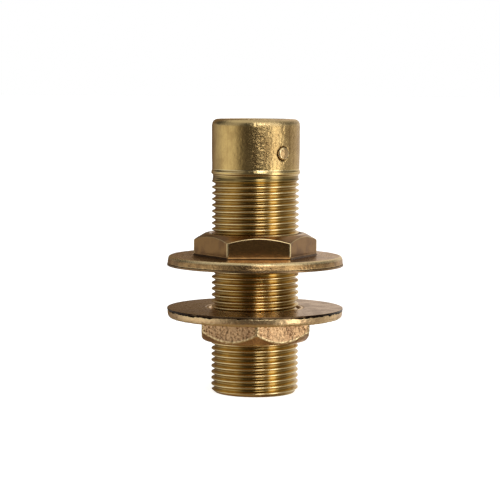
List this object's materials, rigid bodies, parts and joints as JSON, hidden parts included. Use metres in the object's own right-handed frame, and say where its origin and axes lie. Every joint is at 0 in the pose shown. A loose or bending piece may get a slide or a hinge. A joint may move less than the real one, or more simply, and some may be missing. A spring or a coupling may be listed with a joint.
{
  "type": "thru hull fitting",
  "caption": "Threaded bronze tube with an open bore and a plain collar, and flanged nuts with slip washers that clamp a hull between them.",
  "frame": {"origin": "on the tube's axis, in the plane of its lower end", "axes": "+Z along the tube from its lower threaded end to its collar; the locating pin lies between -Y and +X"},
  "size_m": [0.0534, 0.0534, 0.0829],
  "materials": {
    "machined_bronze": "turned, satin",
    "pin_bronze": "turned, satin",
    "nut_bronze": "cast, with machined hex",
    "cast_bronze": "rough as cast",
    "washer_bronze": "faced, satin"
  },
  "bodies": {
    "tube": {"threaded_tube": "machined_bronze", "locating_pin": "pin_bronze"},
    "upper_washer_body": {"upper_washer": "washer_bronze"},
    "upper_nut_body": {"upper_flange_nut": "nut_bronze"},
    "lower_washer_body": {"lower_washer": "washer_bronze"},
    "lower_nut_body": {"lower_flange_nut": "cast_bronze"}
  },
  "joints": [
    {"name": "upper_nut_travel", "type": "slide", "parent": "tube", "child": "upper_washer_body", "axis": [0, 0, 1], "range_m": [-0.0126, 0.0146]},
    {"name": "upper_nut_turn", "type": "hinge", "parent": "upper_washer_body", "child": "upper_nut_body", "pos_m": [0, 0, 0.0386], "axis": [0, 0, 1], "range_deg": [-2484, 2880]},
    {"name": "lower_nut_travel", "type": "slide", "parent": "tube", "child": "lower_washer_body", "axis": [0, 0, 1], "range_m": [-0.0159, 0]},
    {"name": "lower_nut_turn", "type": "hinge", "parent": "lower_washer_body", "child": "lower_nut_body", "pos_m": [0, 0, 0.0258], "axis": [0, 0, 1], "range_deg": [-3132, 0]}
  ],
  "couplings": [
    {"joint": "upper_nut_travel", "follows": "upper_nut_turn", "m_per_rad": 0.00028875},
    {"joint": "lower_nut_travel", "follows": "lower_nut_turn", "m_per_rad": 0.00028875}
  ]
}
